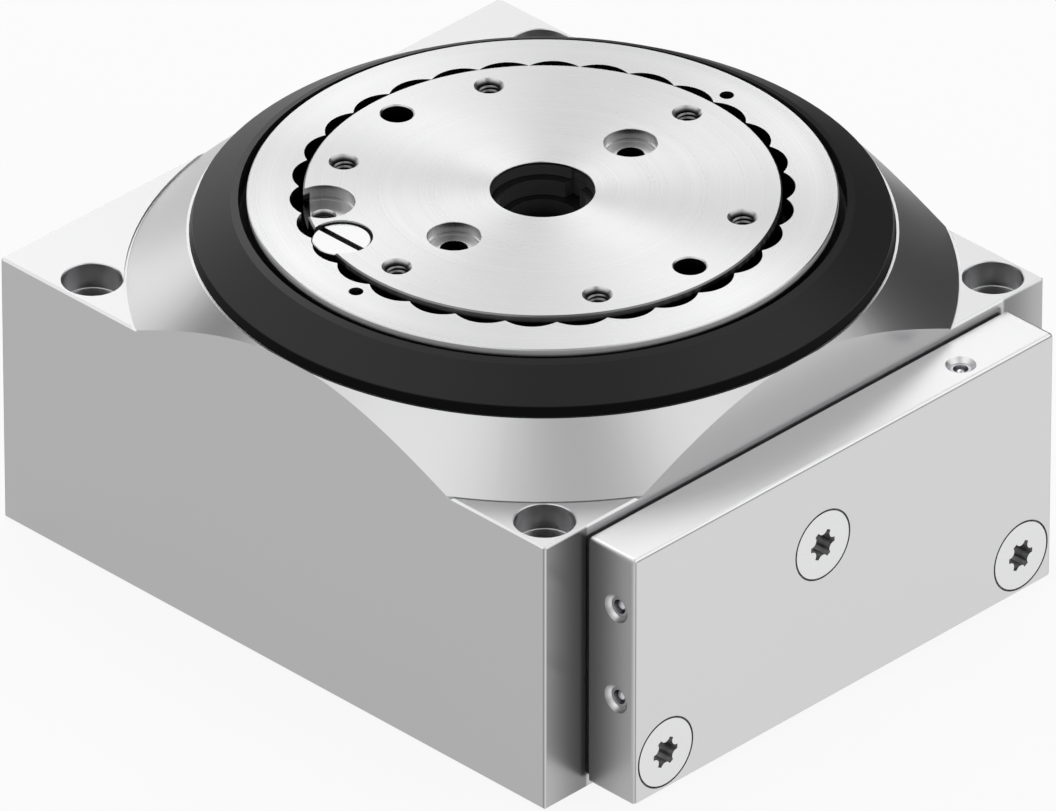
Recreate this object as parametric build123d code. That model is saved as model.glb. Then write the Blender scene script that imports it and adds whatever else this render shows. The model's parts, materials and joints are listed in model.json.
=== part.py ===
from build123d import *
from math import acos, ceil, cos, degrees, floor, pi, radians, sin, tan
import os

# Pneumatic rotary indexing table: twin rack pistons turn a pinion, whose pawl drives the table step by step.
# Millimetres. Z is the table's axis, Z = 0 the mounting face, and +X points at the end cover.

# Clearances
seat_gap = 0.03
running_gap = 0.05
loose_gap = 0.3

# Block of the housing
side_wall = 6.0
tail_length = 9.0
cylinder_floor = 6.0
edge_break = 0.35
corner_inset = 5.5
corner_head_radius = 4.67
corner_head_depth = 4.4
corner_seat_radius = 4.5
corner_seat_depth = 8.0
corner_bolt_radius = 2.75
corner_rim_break = 0.15
dowel_radius = 2.5
base_dowel_inset = 5.5
base_dowel_depth = 6.0

# Turret
turret_rise = 8.95
turret_overhang = 0.2
turret_spread = 9.2
turret_hollow = 0.2
groove_width = 0.4
groove_depth = 0.3

# Crossed-roller bearing
bearing_offset = 5.6
bearing_height = 10.0
race_gap = 1.2
outer_race_depth = 5.4
roller_size = 5.0
roller_end_gap = 0.1
roller_play = 0.1
roller_count = 24
cage_thickness = 0.6
cage_margin = 0.5
window_gap = 0.15

# Table plate and its hollow spindle
table_wall = 5.6
table_step = 0.6
plate_thickness = 10.8
rim_break = 0.25
spindle_radius = 11.5
lip_radius = 8.0
lip_thickness = 0.5
lip_break = 0.1
skirt_gap = 0.2
flange_gap = 0.1
flange_thickness = 4.0
payload_inset = 5.1
thread_radius = 1.65
thread_depth = 9.0
thread_rim = 2.33
dowel_depth = 9.0
dowel_rim = 2.7
through_offset = 19.05
through_radius = 2.15
through_head_radius = 4.1
through_head_depth = 1.75
through_seat_radius = 3.95
through_seat_depth = 2.16

# Sleeve in the central bore
sleeve_radius = 9.5
sleeve_mouth_depth = 2.3
sleeve_ledge_radius = 6.6
sleeve_ledge_depth = 2.75
sleeve_bore_radius = 5.4
key_width = 3.2
key_reach = 8.25
end_recess = 0.7

# Bearing nut and its lock screw
nut_wall = 8.6
nut_rise = 6.4
nut_nose = 1.0
nut_nose_wall = 4.8
nut_rim_break = 0.2
cusp_gap = 0.65
scallop_count = 30
scallop_radius = 5.5
scallop_inset = 4.05
scallop_depth = 7.5
spanner_radius = 1.13
spanner_inset = 5.0
spanner_depth = 6.0
pocket_inset = 3.0
pocket_angle = 231.0
screw_angle = 249.0
pocket_radius = 4.8
pocket_step_radius = 4.65
pocket_step_depth = 2.1
pocket_depth = 2.5
pocket_hole_radius = 1.25
pocket_hole_rim = 1.9
lock_head_radius = 4.45
lock_head_drop = 0.43
lock_head_break = 0.12
lock_shank_radius = 1.5
lock_shank_length = 7.0
lock_slot_width = 1.15
lock_slot_depth = 1.0

# Guard ring and table seal
guard_gap = 1.3
guard_spigot = 4.8
guard_skirt_inset = 0.4
guard_skirt_lean = 0.52
guard_skirt_height = 1.6
guard_rise = 5.7
guard_land = 1.2
guard_land_drop = 0.4
seal_depth = 0.7
seal_height = 2.4
seal_base = 0.6
seal_lip = 1.1

# Index ring
index_thickness = 5.5
index_wall = 4.6
index_count = 24
ratchet_gap = 1.0
ratchet_depth = 2.8
ratchet_face_lean = 5.5
notch_depth = 2.7
notch_root_width = 2.9
notch_half_angle = 15.0
index_screw_wall = 3.8
index_screw_count = 6
index_screw_angle = 7.5
index_pin_angle = 37.5
index_pin_radius = 1.5
m3_radius = 1.5
m3_head_radius = 2.75
m3_head_height = 2.6
m3_head_seat = 2.9
m3_hex = 2.5

# Pinion
gear_module = 1.25
gear_teeth = 32
pressure_angle = 20.0
flank_backlash = 0.1
gear_width = 15.0
gear_cavity_gap = 1.75
bush_wall = 1.5
spigot_wall = 2.0
boss_step = 1.5
lower_bush_length = 5.6
upper_bush_length = 6.8
washer_thickness = 1.8
washer_wall = 3.4

# Pawl carrier and pawl
carrier_gap = 1.2
carrier_thickness = 3.8
carrier_wall = 12.0
carrier_pin_radius = 1.5
carrier_pin_count = 3
window_radius = 3.4
window_angles = (120, 160, 200, 240, 280)
pawl_pivot_inset = 3.5
pawl_pivot_angle = -2.0
pawl_pin_radius = 2.0
pawl_pin_stand = 0.4
pawl_boss_radius = 3.2
pawl_tooth_angle = 30.0
pawl_tip_gap = 0.5
pawl_tip_length = 3.1
pawl_lift_angle = 16.0
spring_gap = 1.2
spring_strip = 0.5
spring_height = 4.0
spring_length = 16.0
spring_foot = (5.0, 5.0, 0.8)
spring_foot_offset = 6.0
spring_screw_radius = 1.25

# Racks and pistons
cylinder_radius = 10.0
rack_depth = 5.0
cylinder_end_wall = 17.0
step_angle = 60.0
rack_radius = 9.7
rack_spare = 1.256
rack_flat_start = 6.7
rack_flat_end = 8.2
rack_spigot_radius = 4.0
rack_spigot_length = 4.0
piston_length = 7.5
piston_radius = 9.75
guide_start = 1.2
guide_width = 2.0
guide_thickness = 0.95
seal_start = 4.3
seal_width = 2.2
seal_thickness = 1.65
piston_screw_radius = 2.0
piston_screw_length = 12.0

# End stops in the -X face
stop_radius = 5.0
stop_recess = 0.5
stop_pad_radius = 4.0
stop_pad_length = 2.0
stop_hex = 5.0
stop_hex_depth = 5.0
stop_seal_offset = 5.0
stop_seal_width = 1.6
stop_seal_thickness = 1.2

# End cover
gasket_thickness = 0.45
gasket_inset = 0.8
cover_thickness = 9.9
cover_inset = 8.6
cover_base = 1.5
cover_top_drop = 1.65
cover_round = 0.7
cover_back_break = 0.4
lower_screw_inset = 6.75
lower_screw_height = 8.2
upper_screw_place = (-4.9, 29.9)
m6_radius = 3.0
m6_clearance = 0.25
m6_head_radius = 5.62
m6_head_gap = 0.33
m6_rim_depth = 0.8
m6_length = 20.0
m6_hole_spare = 0.5
lobe_radius = 2.55
lobe_flute_radius = 0.95
lobe_flute_centre = 2.75
lobe_depth = 2.6
channel_radius = 1.2
riser_radius = 1.4
channel_depth_in_cover = 3.85
plug_rim_radius = 2.38
plug_radius = 1.65
plug_sink = 0.75
plug_length = 3.6
plug_wall = 0.45
plug_ball_radius = 1.1
plug_ball_sink = 1.25
side_channel_heights = (35.2, 19.1)
top_channel_shift = 3.9

# Air ports
port_radius = 4.3
port_depth = 9.0
port_inset = 13.0
port_height = 24.0
supply_radius = 1.5
lock_port_radius = 2.1
lock_port_depth = 7.0
lock_supply_radius = 0.9

# Lock bolt under the +Y face
bolt_stem_radius = 3.4
bolt_tip_width = 2.6
bolt_tip_height = 5.2
bolt_travel = 2.8
bolt_tip_gap = 0.2
bolt_wedge_length = 3.2
bolt_head_radius = 6.0
bolt_head_thickness = 2.6
bolt_bore_depth = 10.0
bolt_head_stand = 0.2
bolt_seal_width = 1.2
bolt_seal_thickness = 0.9
cap_thickness = 3.0
cap_hex = 4.0
cap_hex_depth = 2.0
cap_seal_thickness = 1.2
cap_seal_width = 1.0
spring_pocket_radius = 2.6
spring_pocket_depth = 4.0
disc_spring_radius = 2.4
disc_spring_bore = 1.3
disc_spring_count = 6
disc_spring_thickness = 0.3
disc_spring_cone = 0.35

# Bottom cover
bottom_wall = 6.6
bottom_recess = 4.4
bottom_step = 0.3
bottom_screw_wall = 3.4
bottom_screw_angles = (-30, 0, 30, 150, 180, 210)
bottom_screw_length = 8.0
bottom_seal_wall = 0.5
bottom_seal_width = 1.1
bottom_seal_height = 1.0
spindle_seal_wall = 2.5
spindle_seal_height = 2.0
spindle_bush_wall = 1.8

# Heights, stacked from the mounting face up
cylinder_height = cylinder_floor + cylinder_radius
carrier_base = cylinder_height + cylinder_radius + carrier_gap
carrier_top = carrier_base + carrier_thickness
index_base = carrier_top + loose_gap + 0.2
index_top = index_base + index_thickness
index_middle = (index_base + index_top) / 2
bearing_base = index_top + flange_thickness
bearing_top = bearing_base + bearing_height
bearing_middle = (bearing_base + bearing_top) / 2
turret_top = bearing_top + guard_spigot
deck = turret_top - turret_rise
guard_top = turret_top + guard_rise
nut_top = turret_top + nut_rise
table_top = nut_top + table_step
pocket_floor = table_top - pocket_depth
sleeve_top = table_top - lip_thickness
plate_base = table_top - plate_thickness
cover_top = deck - cover_top_drop
gear_base = cylinder_height - gear_width / 2
gear_top = cylinder_height + gear_width / 2
washer_base = bottom_recess + 0.1
gear_foot = washer_base + washer_thickness + 0.1

# Radii worked out from the values above, from the spindle outwards
bush_radius = spindle_radius + bush_wall
spigot_radius = bush_radius + spigot_wall
boss_radius = spigot_radius + boss_step
carrier_radius = spigot_radius + carrier_wall
ratchet_tip_radius = carrier_radius + ratchet_gap
ratchet_root_radius = ratchet_tip_radius + ratchet_depth
index_screw_circle = ratchet_root_radius + index_screw_wall
skirt_radius = ratchet_root_radius + skirt_gap
table_radius = ratchet_root_radius + table_wall
index_radius = table_radius + index_wall
notch_root_radius = index_radius - notch_depth
flange_radius = index_radius - flange_gap
pawl_pivot_circle = carrier_radius - pawl_pivot_inset
payload_radius = table_radius - payload_inset
pocket_centre = table_radius - pocket_inset
cusp_radius = table_radius + cusp_gap
scallop_centre = cusp_radius - scallop_inset
nut_nose_radius = table_radius + nut_nose_wall
nut_radius = table_radius + nut_wall
spanner_centre = nut_radius - spanner_inset
bearing_radius = table_radius + bearing_offset
race_inner_radius = bearing_radius - race_gap / 2
race_outer_radius = bearing_radius + race_gap / 2
turret_bore = race_outer_radius + outer_race_depth
cavity_radius = index_radius + 1.0
guard_bore = nut_radius + guard_gap
side_offset = turret_bore + side_wall
tail_offset = side_offset + tail_length
turret_top_radius = side_offset + turret_overhang
turret_base_radius = turret_top_radius + turret_spread
guard_skirt_radius = turret_top_radius - guard_skirt_inset
guard_shoulder_radius = guard_skirt_radius - guard_skirt_lean
pitch_radius = gear_module * gear_teeth / 2
tip_radius = pitch_radius + gear_module
root_radius = pitch_radius - 1.25 * gear_module
circular_pitch = pi * gear_module
stroke = pitch_radius * radians(step_angle)
gear_cavity_radius = tip_radius + gear_cavity_gap
bottom_radius = gear_cavity_radius + bottom_wall
bottom_screw_circle = gear_cavity_radius + bottom_screw_wall
bottom_seal_radius = gear_cavity_radius + bottom_seal_wall

# Places along Y
corner_pitch = 2 * (side_offset - corner_inset)
base_dowel_offset = side_offset - base_dowel_inset
cylinder_offset = pitch_radius + rack_depth
top_channel_offset = cylinder_offset + top_channel_shift
port_offset = side_offset - port_inset
lock_port_offset = side_offset - bolt_bore_depth
cover_width = 2 * (side_offset - cover_inset)
lower_screw_offset = cover_width / 2 - lower_screw_inset
screw_places = (
    (-lower_screw_offset, lower_screw_height), (lower_screw_offset, lower_screw_height), upper_screw_place
)

# Places along X
cover_back = side_offset + gasket_thickness
cover_face = cover_back + cover_thickness
channel_x = cover_face - channel_depth_in_cover
cylinder_end = cylinder_end_wall - tail_offset
stop_tip = cylinder_end + stop_pad_length
rack_start = stop_tip + loose_gap
rack_length = side_offset - rack_start - stroke - piston_length - rack_spare

upright = (Align.CENTER, Align.CENTER, Align.MIN)


def polar(radius, angle):
    return radius * cos(radians(angle)), radius * sin(radians(angle))


def pillar(radius, low, high):
    return Pos(0, 0, low) * Cylinder(radius, high - low, align=upright)


def tube(outer, inner, low, high):
    return pillar(outer, low, high) - pillar(inner, low - 1, high + 1)


def turned(points):
    """Solid turned about Z from a closed outline of radius and height pairs."""
    return revolve(Plane.XZ * make_face(Polyline(*points, close=True)), Axis.Z)


def chamfered_hole(radius, rim, depth):
    """Tool for a hole down from Z = 0 whose mouth is broken at 45 degrees to the rim radius."""
    drop = rim - radius
    return turned([(0, -depth), (radius, -depth), (radius, -drop), (rim, 0), (rim, 1), (0, 1)])


def hexagon(across_flats, depth):
    """Tool for a hex socket down from Z = 0."""
    return Pos(0, 0, -depth) * extrude(RegularPolygon(across_flats / 2, 6, major_radius=False), depth + 1)


def along_x(x, y, z):
    """Place whose own Z points along +X."""
    return Pos(x, y, z) * Rot(0, 90, 0)


def along_y(x, y, z):
    """Place whose own Z points along +Y."""
    return Pos(x, y, z) * Rot(-90, 0, 0)


# Housing
def outer_block():
    length = side_offset + tail_offset
    centre = (side_offset - tail_offset) / 2
    block = Pos(centre, 0, 0) * Box(length, 2 * side_offset, deck, align=upright)
    block = chamfer(block.edges(), edge_break)
    footprint = Pos(centre, 0, 0) * Box(length, 2 * side_offset, turret_top, align=upright)
    footprint = chamfer(footprint.edges().filter_by(Axis.Z), edge_break)
    middle_radius = (turret_top_radius + turret_base_radius) / 2 - turret_hollow * cos(pi / 4)
    middle_height = (turret_top + deck) / 2 - turret_hollow * sin(pi / 4)
    flank = ThreePointArc(
        (turret_base_radius, deck), (middle_radius, middle_height), (turret_top_radius, turret_top)
    )
    rest = Polyline(
        (turret_top_radius, turret_top), (0, turret_top), (0, 1), (turret_base_radius, 1), (turret_base_radius, deck)
    )
    turret = revolve(Plane.XZ * make_face(Curve() + [flank, rest]), Axis.Z) & footprint
    return block + turret


def corner_hole():
    hole = chamfered_hole(corner_head_radius, corner_head_radius + corner_rim_break, corner_head_depth)
    hole += Pos(0, 0, -corner_seat_depth) * Cylinder(corner_seat_radius, corner_seat_depth, align=upright)
    return hole + Pos(0, 0, -deck - 1) * Cylinder(corner_bolt_radius, deck, align=upright)


def m6_hole(depth):
    return Cylinder(m6_radius, depth, align=upright)


def housing():
    body = outer_block()
    body -= tube(turret_base_radius + groove_width, turret_base_radius - 0.01, deck - groove_depth, deck + 0.2)
    body -= pillar(turret_bore, bearing_base, turret_top + 1)
    body -= pillar(cavity_radius, carrier_base - carrier_gap / 2, bearing_base + 1)
    body -= pillar(gear_cavity_radius, bottom_recess - 1, carrier_base)
    body -= pillar(bottom_radius + seat_gap, -1, bottom_recess)
    for place in GridLocations(corner_pitch, corner_pitch, 2, 2):
        body -= Pos(0, 0, deck) * place * corner_hole()
    for side in (-1, 1):
        body -= Pos(side * base_dowel_offset, 0, 0) * Rot(180, 0, 0) * chamfered_hole(
            dowel_radius, dowel_rim, base_dowel_depth
        )
        reach = side_offset - cylinder_end
        bore = Cylinder(cylinder_radius, reach + 1, align=upright)
        bore += Pos(0, 0, -cylinder_end_wall - 1) * Cylinder(stop_radius + seat_gap, cylinder_end_wall + 2, align=upright)
        bore += Pos(0, 0, stop_seal_offset - cylinder_end_wall) * Cylinder(
            stop_radius + stop_seal_thickness, stop_seal_width, align=upright
        )
        body -= along_x(cylinder_end, side * cylinder_offset, cylinder_height) * bore
        port = Cylinder(port_radius, port_depth + 1, align=upright)
        port += Cylinder(supply_radius, tail_offset + side_offset + 2, align=upright)
        body -= along_x(-tail_offset - 1, side * port_offset, port_height) * port
    for y, z in screw_places:
        depth = m6_length - (cover_face - side_offset) + m6_hole_spare
        body -= along_x(side_offset - depth, y, z) * m6_hole(depth + 1)
    for angle in bottom_screw_angles:
        x, y = polar(bottom_screw_circle, angle)
        body -= Pos(x, y, bottom_recess - 1) * Cylinder(m3_radius + seat_gap, bottom_screw_length - 2, align=upright)
    bolt = Cylinder(bolt_head_radius, bolt_bore_depth + 1, align=upright)
    bolt += Pos(0, 0, -bolt_bore_depth) * Cylinder(bolt_stem_radius + running_gap, bolt_bore_depth + 1, align=upright)
    body -= along_y(0, side_offset - bolt_bore_depth, index_middle) * bolt
    lock_port = Cylinder(lock_port_radius, lock_port_depth + 1, align=upright)
    lock_port += Cylinder(lock_supply_radius, tail_offset + 1, align=upright)
    body -= along_x(-tail_offset - 1, lock_port_offset, index_middle) * lock_port
    return body


# Crossed-roller bearing
def race(wall, lip):
    """Race whose flat wall is at one radius and whose grooved face is at the other."""
    half_groove = (roller_size + 2 * roller_play) / 2 ** 0.5
    step = half_groove - race_gap / 2
    groove_bottom = bearing_radius + (half_groove if wall > lip else -half_groove)
    return turned(
        [
            (wall, bearing_base),
            (lip, bearing_base),
            (lip, bearing_middle - step),
            (groove_bottom, bearing_middle),
            (lip, bearing_middle + step),
            (lip, bearing_top),
            (wall, bearing_top),
        ]
    )


def rollers():
    tilts = (45, -45)
    return [
        Rot(0, 0, index * 360 / roller_count)
        * Pos(bearing_radius, 0, bearing_middle)
        * Rot(0, tilts[index % 2], 0)
        * Cylinder(roller_size / 2, roller_size - roller_end_gap)
        for index in range(roller_count)
    ]


def cage():
    ring = tube(
        bearing_radius + cage_thickness / 2,
        bearing_radius - cage_thickness / 2,
        bearing_base + cage_margin,
        bearing_top - cage_margin,
    )
    width = roller_size + 2 * window_gap
    window = Box(4 * cage_thickness, width, roller_size * 2 ** 0.5 + 2 * window_gap)
    for place in PolarLocations(bearing_radius, roller_count):
        ring -= Pos(0, 0, bearing_middle) * place * window
    return ring


# Table plate
def table_plate():
    plate = turned(
        [
            (sleeve_radius, end_recess),
            (spindle_radius, end_recess),
            (spindle_radius, plate_base),
            (skirt_radius, plate_base),
            (skirt_radius, index_top),
            (flange_radius, index_top),
            (flange_radius, bearing_base),
            (table_radius, bearing_base),
            (table_radius, table_top - rim_break),
            (table_radius - rim_break, table_top),
            (lip_radius + lip_break, table_top),
            (lip_radius, table_top - lip_break),
            (lip_radius, sleeve_top),
            (sleeve_radius, sleeve_top),
        ]
    )
    top = Pos(0, 0, table_top)
    for place in PolarLocations(payload_radius, 6, start_angle=30):
        plate -= top * place * chamfered_hole(thread_radius, thread_rim, thread_depth)
    for place in PolarLocations(payload_radius, 2):
        plate -= top * place * chamfered_hole(dowel_radius, dowel_rim, dowel_depth)
    for place in PolarLocations(through_offset, 2, start_angle=90):
        hole = chamfered_hole(through_head_radius, through_head_radius + 0.08, through_head_depth)
        hole += Pos(0, 0, -through_seat_depth) * Cylinder(through_seat_radius, through_seat_depth, align=upright)
        hole += Pos(0, 0, -plate_thickness - 1) * Cylinder(through_radius, plate_thickness + 1, align=upright)
        plate -= top * place * hole
    x, y = polar(pocket_centre, pocket_angle)
    pocket = Pos(0, 0, -pocket_step_depth) * Cylinder(pocket_radius, pocket_step_depth + 1, align=upright)
    pocket += Pos(0, 0, -pocket_depth) * Cylinder(pocket_step_radius, pocket_depth, align=upright)
    pocket += Pos(0, 0, -pocket_depth) * chamfered_hole(pocket_hole_radius, pocket_hole_rim, lock_shank_length)
    plate -= top * Pos(x, y, 0) * pocket
    x, y = polar(pocket_centre, screw_angle)
    seat = Pos(0, 0, -pocket_depth) * Cylinder(pocket_radius, pocket_depth + 1, align=upright)
    seat += Pos(0, 0, -pocket_depth - lock_shank_length) * Cylinder(
        lock_shank_radius, lock_shank_length + 1, align=upright
    )
    plate -= top * Pos(x, y, 0) * seat
    for place in PolarLocations(index_screw_circle, index_screw_count, start_angle=index_screw_angle):
        plate -= Pos(0, 0, index_top - 1) * place * Cylinder(m3_radius, flange_thickness + 0.5, align=upright)
    for place in PolarLocations(index_screw_circle, 2, start_angle=index_pin_angle):
        plate -= Pos(0, 0, index_top - 1) * place * Cylinder(index_pin_radius, flange_thickness + 0.5, align=upright)
    return plate


def centre_sleeve():
    outer = sleeve_radius - seat_gap
    mouth = table_top - sleeve_mouth_depth
    ledge = mouth - sleeve_ledge_depth
    sleeve = turned(
        [
            (sleeve_bore_radius, end_recess),
            (outer, end_recess),
            (outer, sleeve_top),
            (lip_radius, sleeve_top),
            (lip_radius, mouth),
            (sleeve_ledge_radius, mouth),
            (sleeve_ledge_radius, ledge),
            (sleeve_bore_radius, ledge),
        ]
    )
    keyway = Pos(0, 0, ledge) * Box(
        key_width, key_reach, sleeve_top - ledge + 1, align=(Align.CENTER, Align.MIN, Align.MIN)
    )
    return sleeve - keyway


def preload_ring():
    nut = turned(
        [
            (table_radius + running_gap, bearing_top),
            (nut_nose_radius, bearing_top),
            (nut_nose_radius, bearing_top + nut_nose),
            (nut_radius, bearing_top + nut_nose),
            (nut_radius, nut_top - nut_rim_break),
            (nut_radius - nut_rim_break, nut_top),
            (cusp_radius, nut_top),
            (cusp_radius, nut_top - scallop_depth),
            (table_radius + running_gap, nut_top - scallop_depth),
        ]
    )
    scallops = Sketch() + [
        place * Circle(scallop_radius) for place in PolarLocations(scallop_centre, scallop_count)
    ]
    nut -= Pos(0, 0, nut_top - scallop_depth) * extrude(scallops, scallop_depth + 1)
    for place in PolarLocations(spanner_centre, 2, start_angle=90):
        nut -= Pos(0, 0, nut_top - spanner_depth) * place * Cylinder(spanner_radius, spanner_depth + 1, align=upright)
    x, y = polar(pocket_centre, screw_angle)
    nut -= Pos(x, y, pocket_floor - loose_gap) * Cylinder(
        lock_head_radius + 3 * running_gap, pocket_depth + 1, align=upright
    )
    return nut


def lock_screw():
    x, y = polar(pocket_centre, screw_angle)
    head_top = table_top - lock_head_drop
    head = turned(
        [
            (0, pocket_floor - lock_shank_length + 1),
            (lock_shank_radius - seat_gap, pocket_floor - lock_shank_length + 1),
            (lock_shank_radius - seat_gap, pocket_floor),
            (lock_head_radius, pocket_floor),
            (lock_head_radius, head_top - lock_head_break),
            (lock_head_radius - lock_head_break, head_top),
            (0, head_top),
        ]
    )
    slot = Pos(0, 0, head_top - lock_slot_depth) * Box(
        3 * lock_head_radius, lock_slot_width, lock_slot_depth + 1, align=upright
    )
    return Pos(x, y, 0) * (head - slot)


# Guard ring
def guard_ring():
    shoulder = turret_top + guard_skirt_height
    groove_low = turret_top - seal_base
    groove_high = groove_low + seal_height + 2 * seat_gap
    return turned(
        [
            (guard_bore, bearing_top),
            (turret_bore - seat_gap, bearing_top),
            (turret_bore - seat_gap, turret_top),
            (guard_skirt_radius, turret_top),
            (guard_shoulder_radius, shoulder),
            (guard_bore + guard_land, guard_top - guard_land_drop),
            (guard_bore, guard_top),
            (guard_bore, groove_high),
            (guard_bore + seal_depth, groove_high),
            (guard_bore + seal_depth, groove_low),
            (guard_bore, groove_low),
        ]
    )


def table_seal():
    low = turret_top - seal_base + seat_gap
    high = low + seal_height
    return turned(
        [
            (guard_bore + seal_depth - seat_gap, low),
            (guard_bore + seal_depth - seat_gap, high),
            (guard_bore - loose_gap, high),
            (nut_radius + running_gap, high - seal_lip / 2),
            (guard_bore - loose_gap, high - seal_lip),
            (guard_bore - loose_gap, low),
        ]
    )


# Index ring
def index_ring():
    pitch = 360 / index_count
    saw = []
    for tooth in range(index_count):
        saw.append(polar(ratchet_root_radius, tooth * pitch))
        saw.append(polar(ratchet_tip_radius, tooth * pitch + ratchet_face_lean))
    half_root = notch_root_width / 2
    half_mouth = half_root + (index_radius + 1 - notch_root_radius) * tan(radians(notch_half_angle))
    notch = make_face(
        Polyline(
            (notch_root_radius, -half_root),
            (index_radius + 1, -half_mouth),
            (index_radius + 1, half_mouth),
            (notch_root_radius, half_root),
            close=True,
        )
    )
    outline = Circle(index_radius) - make_face(Polyline(*saw, close=True))
    outline -= [Rot(0, 0, tooth * pitch) * notch for tooth in range(index_count)]
    ring = Pos(0, 0, index_base) * extrude(outline, index_thickness)
    for place in PolarLocations(index_screw_circle, index_screw_count, start_angle=index_screw_angle):
        ring -= Pos(0, 0, index_base - 1) * place * Cylinder(m3_head_radius + seat_gap, m3_head_seat + 1, align=upright)
        ring -= Pos(0, 0, index_base) * place * Cylinder(m3_radius + running_gap, index_thickness + 1, align=upright)
    for place in PolarLocations(index_screw_circle, 2, start_angle=index_pin_angle):
        ring -= Pos(0, 0, index_base - 1) * place * Cylinder(index_pin_radius, index_thickness + 2, align=upright)
    return ring


def cap_screw(length):
    """Socket screw whose head bears on Z = 0 from below, with its shank upwards."""
    screw = Pos(0, 0, -m3_head_height) * Cylinder(m3_head_radius, m3_head_height, align=upright)
    screw += Cylinder(m3_radius - seat_gap, length, align=upright)
    return screw - Pos(0, 0, -m3_head_height) * Rot(180, 0, 0) * hexagon(m3_hex, m3_head_height / 2)


def index_ring_screws():
    length = index_thickness - m3_head_seat + flange_thickness - 1
    places = PolarLocations(index_screw_circle, index_screw_count, start_angle=index_screw_angle)
    return [Pos(0, 0, index_base + m3_head_seat) * place * cap_screw(length) for place in places]


def index_ring_pins():
    places = PolarLocations(index_screw_circle, 2, start_angle=index_pin_angle)
    length = index_thickness + flange_thickness - 1.5
    return [
        Pos(0, 0, index_base + 0.5) * place * Cylinder(index_pin_radius - seat_gap, length, align=upright)
        for place in places
    ]


# Pinion
def involute_angle(radius):
    """Half the angle that a pinion tooth spans at a radius."""
    base = pitch_radius * cos(radians(pressure_angle))

    def spread(at):
        slope = acos(min(1.0, base / at))
        return tan(slope) - slope

    half_pitch = (circular_pitch / 2 - flank_backlash) / (2 * pitch_radius)
    return degrees(half_pitch + spread(pitch_radius) - spread(radius))


def pinion_outline():
    base = pitch_radius * cos(radians(pressure_angle))
    middle = (base + tip_radius) / 2
    edges = []
    for tooth in range(gear_teeth):
        centre = tooth * 360 / gear_teeth
        step = 360 / gear_teeth
        foot, waist, crest = (involute_angle(r) for r in (base, middle, tip_radius))
        edges.append(Line(polar(root_radius, centre - foot), polar(base, centre - foot)))
        edges.append(
            ThreePointArc(
                polar(base, centre - foot), polar(middle, centre - waist), polar(tip_radius, centre - crest)
            )
        )
        edges.append(Line(polar(tip_radius, centre - crest), polar(tip_radius, centre + crest)))
        edges.append(
            ThreePointArc(
                polar(tip_radius, centre + crest), polar(middle, centre + waist), polar(base, centre + foot)
            )
        )
        edges.append(Line(polar(base, centre + foot), polar(root_radius, centre + foot)))
        edges.append(Line(polar(root_radius, centre + foot), polar(root_radius, centre + step - foot)))
    return make_face(Curve() + edges)


def drive_gear():
    gear = Pos(0, 0, gear_base) * extrude(pinion_outline(), gear_width)
    gear += pillar(boss_radius, gear_foot, carrier_base)
    gear += pillar(spigot_radius, gear_foot, carrier_top)
    gear -= pillar(bush_radius + seat_gap, gear_foot - 1, carrier_top + 1)
    return gear - [carrier_pin_hole(place) for place in carrier_pin_places()]


def carrier_pin_places():
    return PolarLocations(spigot_radius, carrier_pin_count, start_angle=90)


def carrier_pin_hole(place):
    return Pos(0, 0, carrier_base) * place * Cylinder(carrier_pin_radius, carrier_thickness + 1, align=upright)


def carrier_pins():
    pin = Cylinder(carrier_pin_radius - seat_gap, carrier_thickness - 0.2, align=upright)
    return [Pos(0, 0, carrier_base) * place * pin for place in carrier_pin_places()]


def gear_bush(low, length):
    return tube(bush_radius, spindle_radius + running_gap, low, low + length)


def thrust_washer():
    inner = spindle_radius + bush_wall + loose_gap
    return tube(inner + washer_wall, inner, washer_base, washer_base + washer_thickness)


# Pawl and its carrier
def spring_place():
    x, y = polar(pawl_pivot_circle, pawl_pivot_angle)
    return Pos(x - pawl_boss_radius - spring_gap - spring_strip, y, carrier_top)


def pawl_carrier():
    plate = tube(carrier_radius, spigot_radius + seat_gap, carrier_base, carrier_top)
    plate -= [carrier_pin_hole(place) for place in carrier_pin_places()]
    x, y = polar(pawl_pivot_circle, pawl_pivot_angle)
    plate -= Pos(x, y, carrier_base - 1) * Cylinder(pawl_pin_radius + seat_gap, carrier_thickness + 2, align=upright)
    plate -= spring_place() * spring_foot_centre() * Pos(0, 0, 1 - carrier_thickness) * Cylinder(
        spring_screw_radius, carrier_thickness, align=upright
    )
    middle = (spigot_radius + carrier_radius) / 2
    for angle in window_angles:
        x, y = polar(middle, angle)
        plate -= Pos(x, y, carrier_base - 1) * Cylinder(window_radius, carrier_thickness + 2, align=upright)
    return plate


def pawl_pin():
    x, y = polar(pawl_pivot_circle, pawl_pivot_angle)
    top = index_top + pawl_pin_stand
    return Pos(x, y, carrier_base) * Cylinder(pawl_pin_radius, top - carrier_base, align=upright)


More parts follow.
